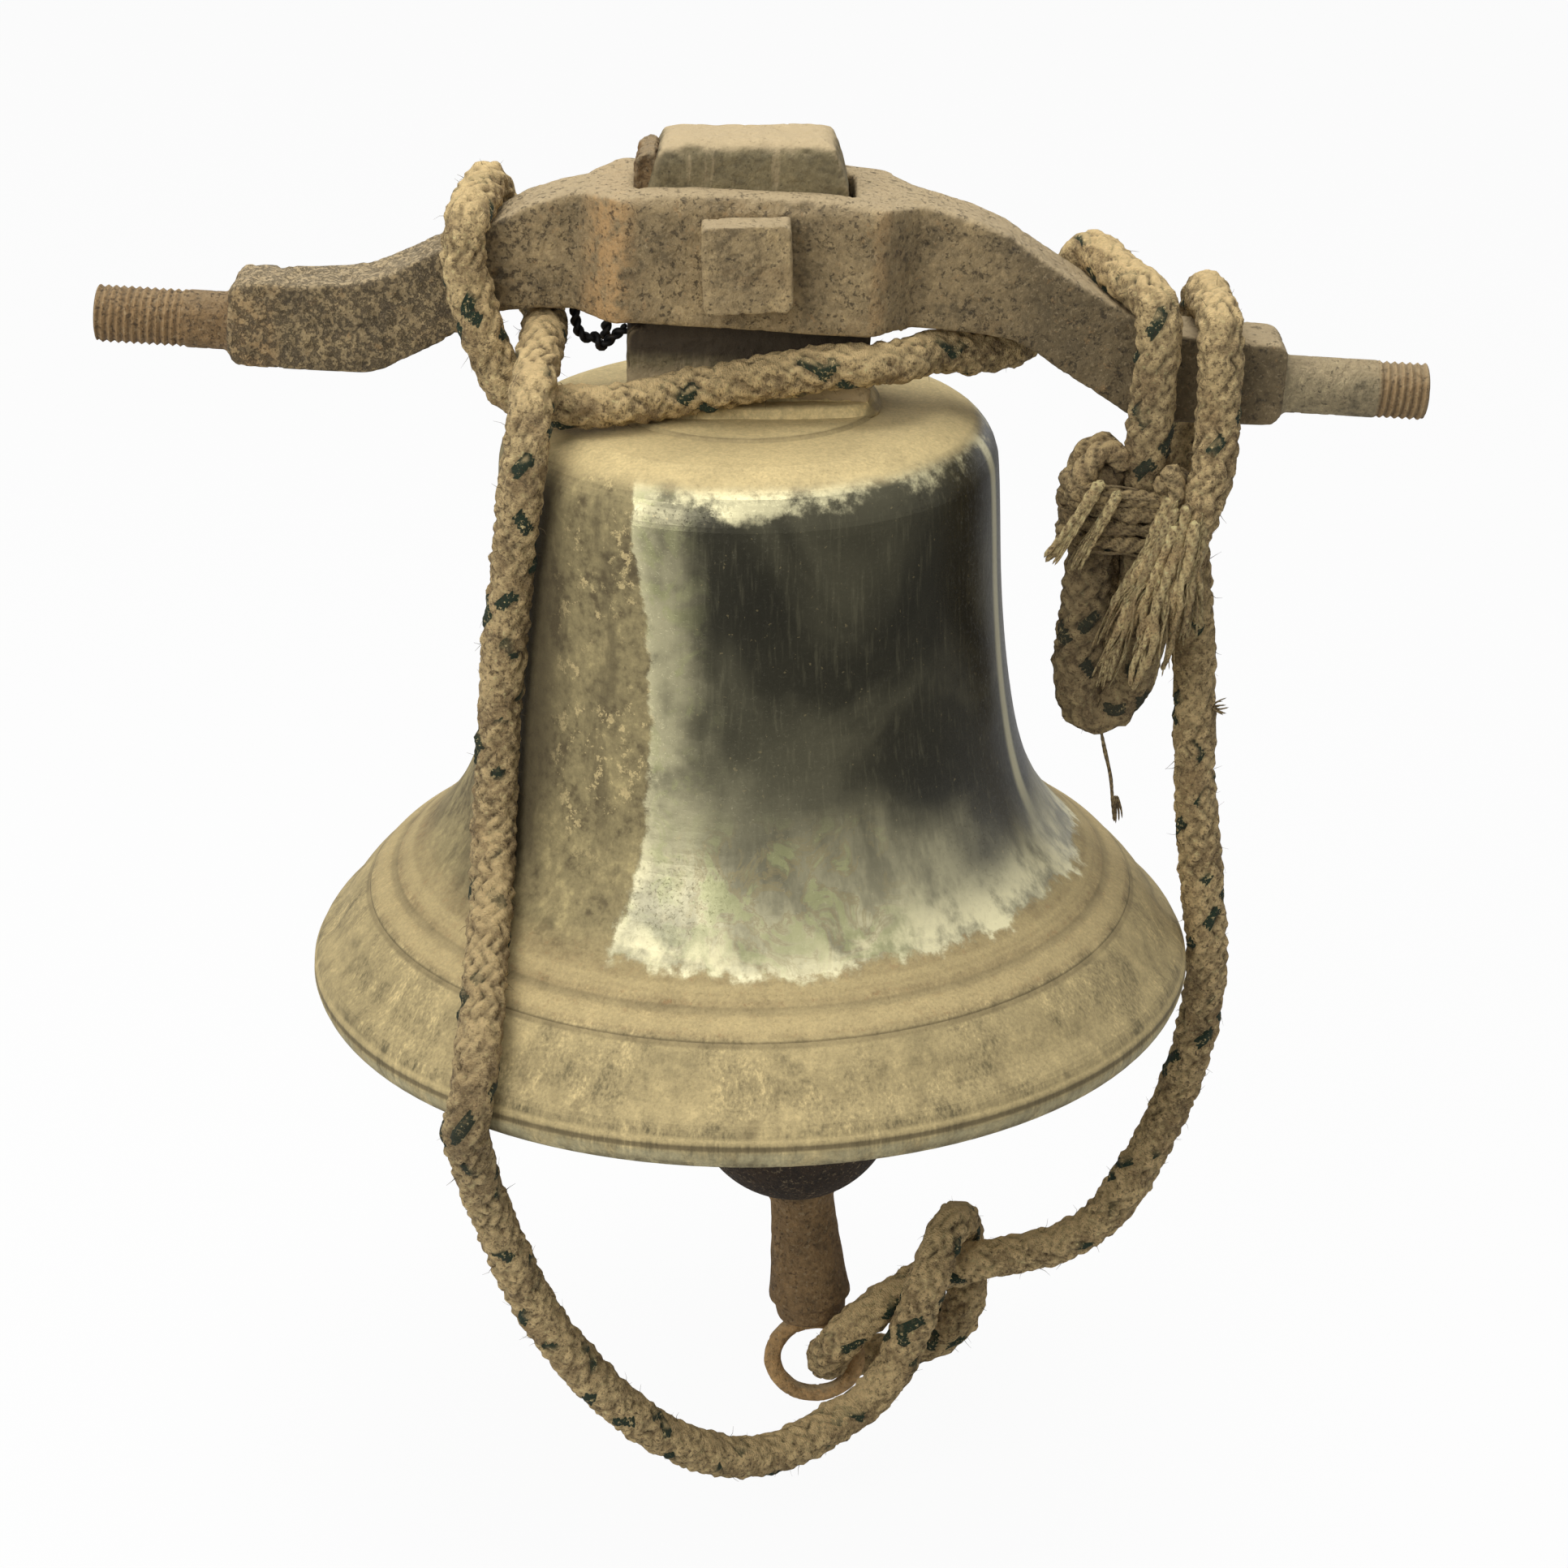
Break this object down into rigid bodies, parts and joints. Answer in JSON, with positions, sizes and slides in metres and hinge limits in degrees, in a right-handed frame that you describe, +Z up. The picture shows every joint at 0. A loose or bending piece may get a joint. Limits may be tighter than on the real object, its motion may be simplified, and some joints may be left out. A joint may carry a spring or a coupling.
{
  "type": "yoke hung bell",
  "caption": "Cast bronze bell bolted to an arched iron yoke with journal studs, with a swinging clapper, pull eye and a hand-tied pull rope.",
  "frame": {"origin": "middle of the yoke's journal axis, the line the bell swings about on its stand", "axes": "+X along the journals to the right in the picture, +Y away from the viewer, +Z up"},
  "size_m": [0.44, 0.305, 0.4761],
  "materials": {
    "bronze": "weathered bell bronze, dusty and partly polished",
    "yoke_iron": "rough cast, rusty and dusty",
    "hardware_iron": "rusty forged iron",
    "clapper_iron": "dark brown rust",
    "rusty_iron": "orange brown rust",
    "rope": "muddy braided rope with a few green tracer yarns",
    "black_wire": "blackened twisted wire"
  },
  "bodies": {
    "yoke_and_bell": {"yoke": "yoke_iron", "bell": "bronze", "yoke_bolt": "hardware_iron", "yoke_bolt_nut": "hardware_iron", "tang_wedge": "rusty_iron", "clapper_staple": "hardware_iron", "staple_nut": "hardware_iron", "clapper_pin": "hardware_iron", "pin_washer": "hardware_iron", "pin_cotter": "hardware_iron", "rope_frayed_end": "rope", "rope_turn_right": "rope", "rope_fall_right": "rope", "rope_sling_right": "rope", "rope_sling_left": "rope", "rope_fall_left": "rope", "rope_turn_left": "rope", "rope_crown_run": "rope", "rope_turn_inner": "rope", "rope_eye": "rope", "rope_seizing": "rope", "seizing_tassel": "rope", "twine_end": "rope", "tie_wire": "black_wire"},
    "clapper": {"clapper_arm": "clapper_iron", "clapper_ball": "clapper_iron", "clapper_tail": "clapper_iron", "pull_eye": "rusty_iron", "rope_knot": "rope"}
  },
  "joints": [
    {"name": "clapper_swing", "type": "hinge", "parent": "yoke_and_bell", "child": "clapper", "pos_m": [0.0006, 0, -0.06131], "axis": [0.9981, 0, 0.061], "range_deg": [-30.6, 30.6], "deforming": ["rope_sling_right", "rope_sling_left"]}
  ]
}
